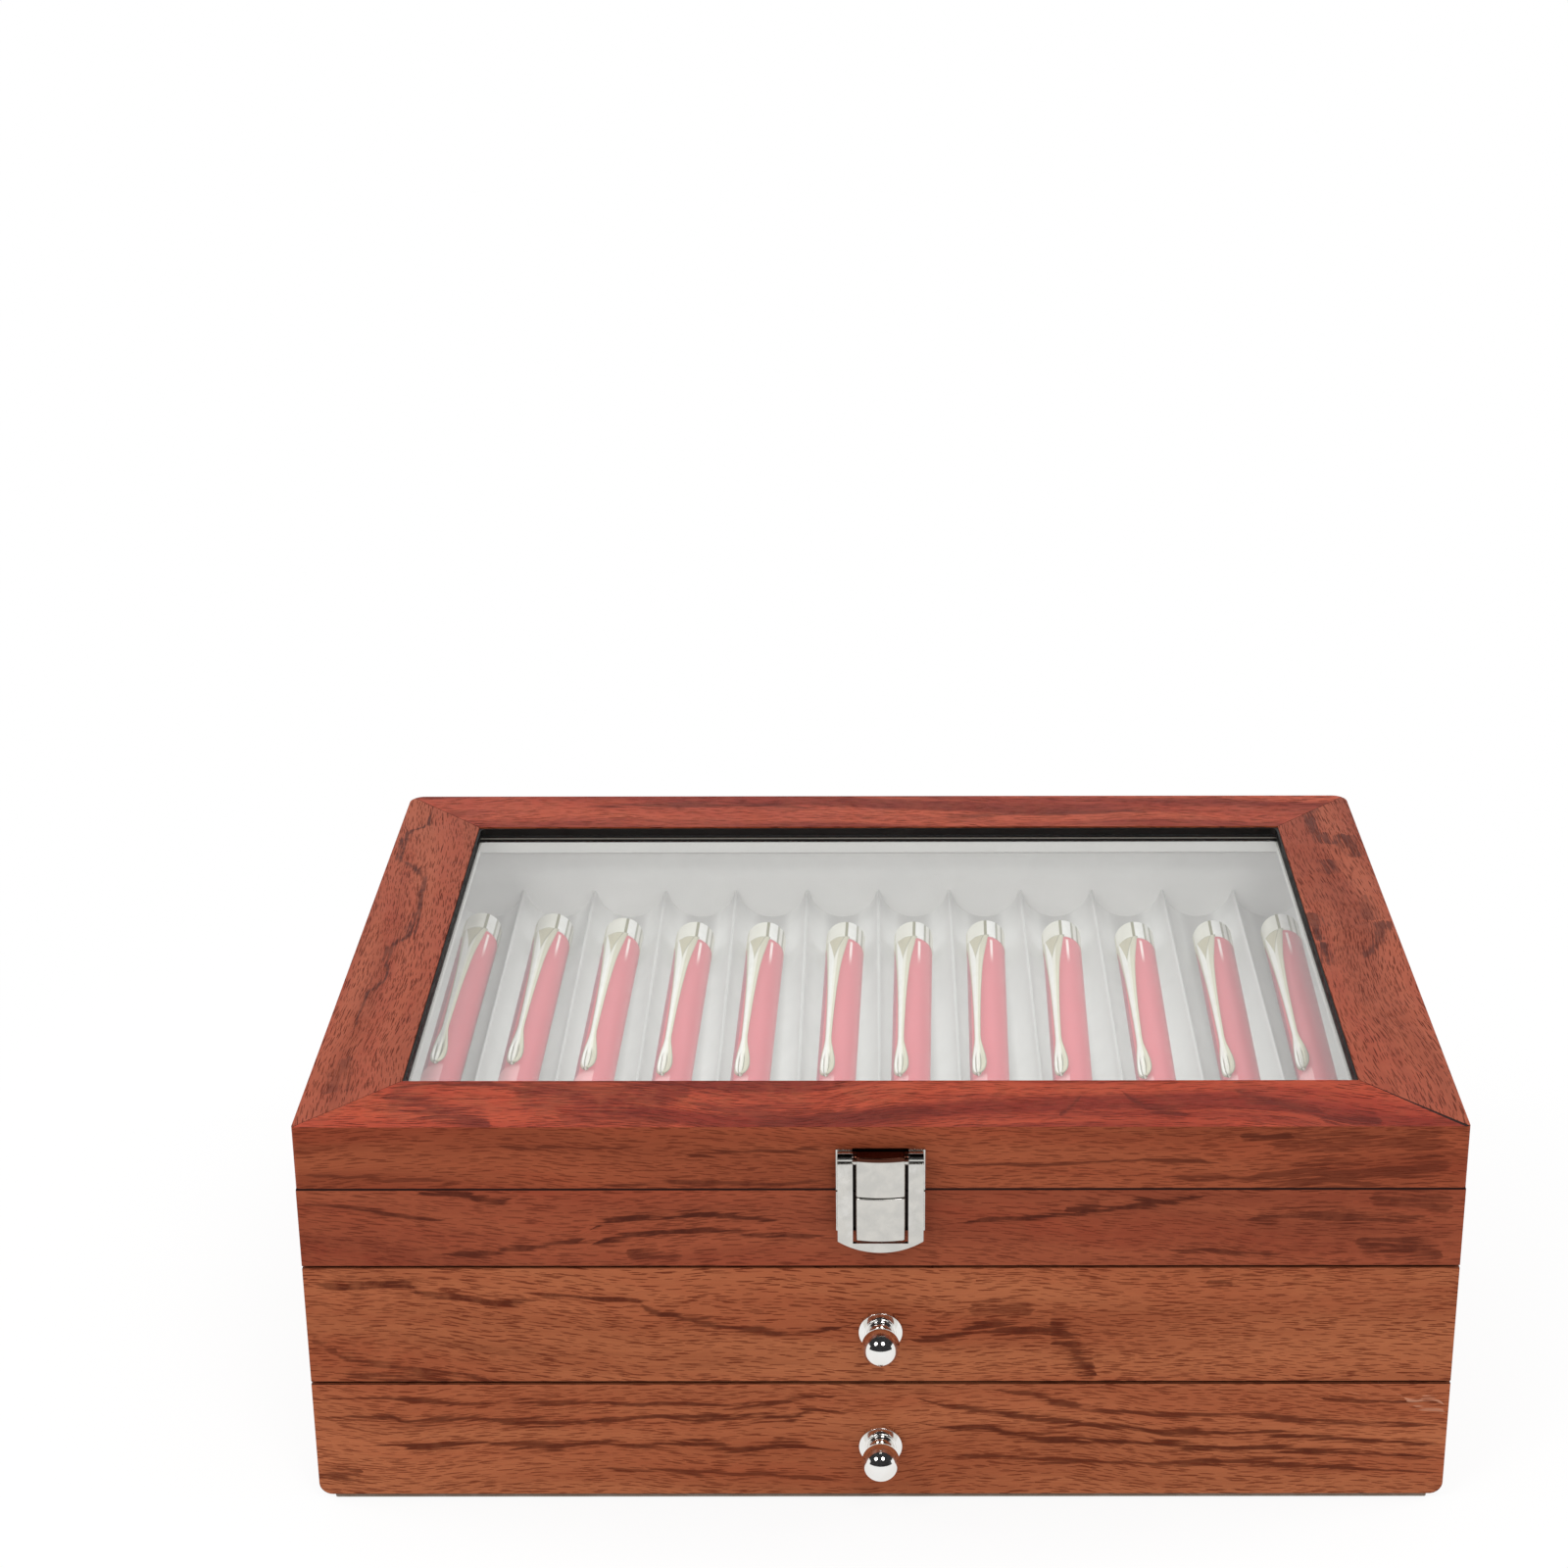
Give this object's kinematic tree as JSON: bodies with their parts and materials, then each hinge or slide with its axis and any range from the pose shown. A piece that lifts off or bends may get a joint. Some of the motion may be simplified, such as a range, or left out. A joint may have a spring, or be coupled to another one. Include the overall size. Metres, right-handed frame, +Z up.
{
  "type": "pen collector chest",
  "caption": "Wooden pen display chest with a hinged glass lid, hasp latch, corrugated pen trays and full-width drawers with ball knobs.",
  "frame": {"origin": "middle of the underside of the base pad, under the middle of the 340 by 245 mm case", "axes": "+X to the right along the fronts, +Y to the back, +Z up"},
  "size_m": [0.34, 0.2651, 0.128],
  "materials": {
    "veneered_wood": "glossy lacquered red-brown veneer",
    "plain_board": "unfinished board",
    "grey_lining": "fine grey flock",
    "black_strip": "satin",
    "glass": "clear",
    "chrome": "polished",
    "satin_steel": "satin",
    "pen_lacquer": "glossy red lacquer",
    "base_pad": "pressed felt"
  },
  "bodies": {
    "case": {"left_side_panel": "veneered_wood", "right_side_panel": "veneered_wood", "back_panel": "veneered_wood", "top_front_rail": "veneered_wood", "tray_deck": "plain_board", "drawer_shelf": "plain_board", "base_panel": "plain_board", "base_pad": "base_pad", "front_lining": "grey_lining", "back_lining": "grey_lining", "left_lining": "grey_lining", "right_lining": "grey_lining", "top_tray_card": "grey_lining", "top_tray_ridges": "grey_lining", "pen_barrels": "pen_lacquer", "pen_caps": "chrome", "pen_clips": "chrome", "latch_keeper": "satin_steel", "latch_keeper_screws": "satin_steel", "lower_hinge_leaves": "satin_steel", "lower_hinge_screws": "satin_steel"},
    "lid": {"lid_front_rail": "veneered_wood", "lid_back_rail": "veneered_wood", "lid_left_rail": "veneered_wood", "lid_right_rail": "veneered_wood", "window_gasket": "black_strip", "glass_pane": "glass", "front_glass_bead": "grey_lining", "back_glass_bead": "grey_lining", "left_glass_bead": "grey_lining", "right_glass_bead": "grey_lining", "upper_hinge_leaves": "satin_steel", "hinge_pins": "satin_steel", "upper_hinge_screws": "satin_steel", "latch_plate": "satin_steel", "latch_pin": "satin_steel", "latch_plate_screws": "satin_steel"},
    "flap": {"latch_flap": "satin_steel"},
    "upper_drawer": {"upper_drawer_front": "veneered_wood", "upper_drawer_left_side": "plain_board", "upper_drawer_right_side": "plain_board", "upper_drawer_back": "plain_board", "upper_drawer_bottom": "plain_board", "upper_drawer_card": "grey_lining", "upper_drawer_ridges": "grey_lining", "upper_knob": "chrome", "upper_knob_screw": "satin_steel"},
    "lower_drawer": {"lower_drawer_front": "veneered_wood", "lower_drawer_left_side": "plain_board", "lower_drawer_right_side": "plain_board", "lower_drawer_back": "plain_board", "lower_drawer_bottom": "plain_board", "lower_drawer_card": "grey_lining", "lower_drawer_ridges": "grey_lining", "lower_knob": "chrome", "lower_knob_screw": "satin_steel"}
  },
  "joints": [
    {"name": "lid_hinge", "type": "hinge", "parent": "case", "child": "lid", "pos_m": [0, 0.1247, 0.1075], "axis": [-1, 0, 0], "range_deg": [0, 95]},
    {"name": "latch_flap_hinge", "type": "hinge", "parent": "lid", "child": "flap", "pos_m": [0, -0.1257, 0.1195], "axis": [-1, 0, 0], "range_deg": [0, 150]},
    {"name": "upper_drawer_slide", "type": "slide", "parent": "case", "child": "upper_drawer", "axis": [0, -1, 0], "range_m": [0, 0.17]},
    {"name": "lower_drawer_slide", "type": "slide", "parent": "case", "child": "lower_drawer", "axis": [0, -1, 0], "range_m": [0, 0.17]}
  ]
}
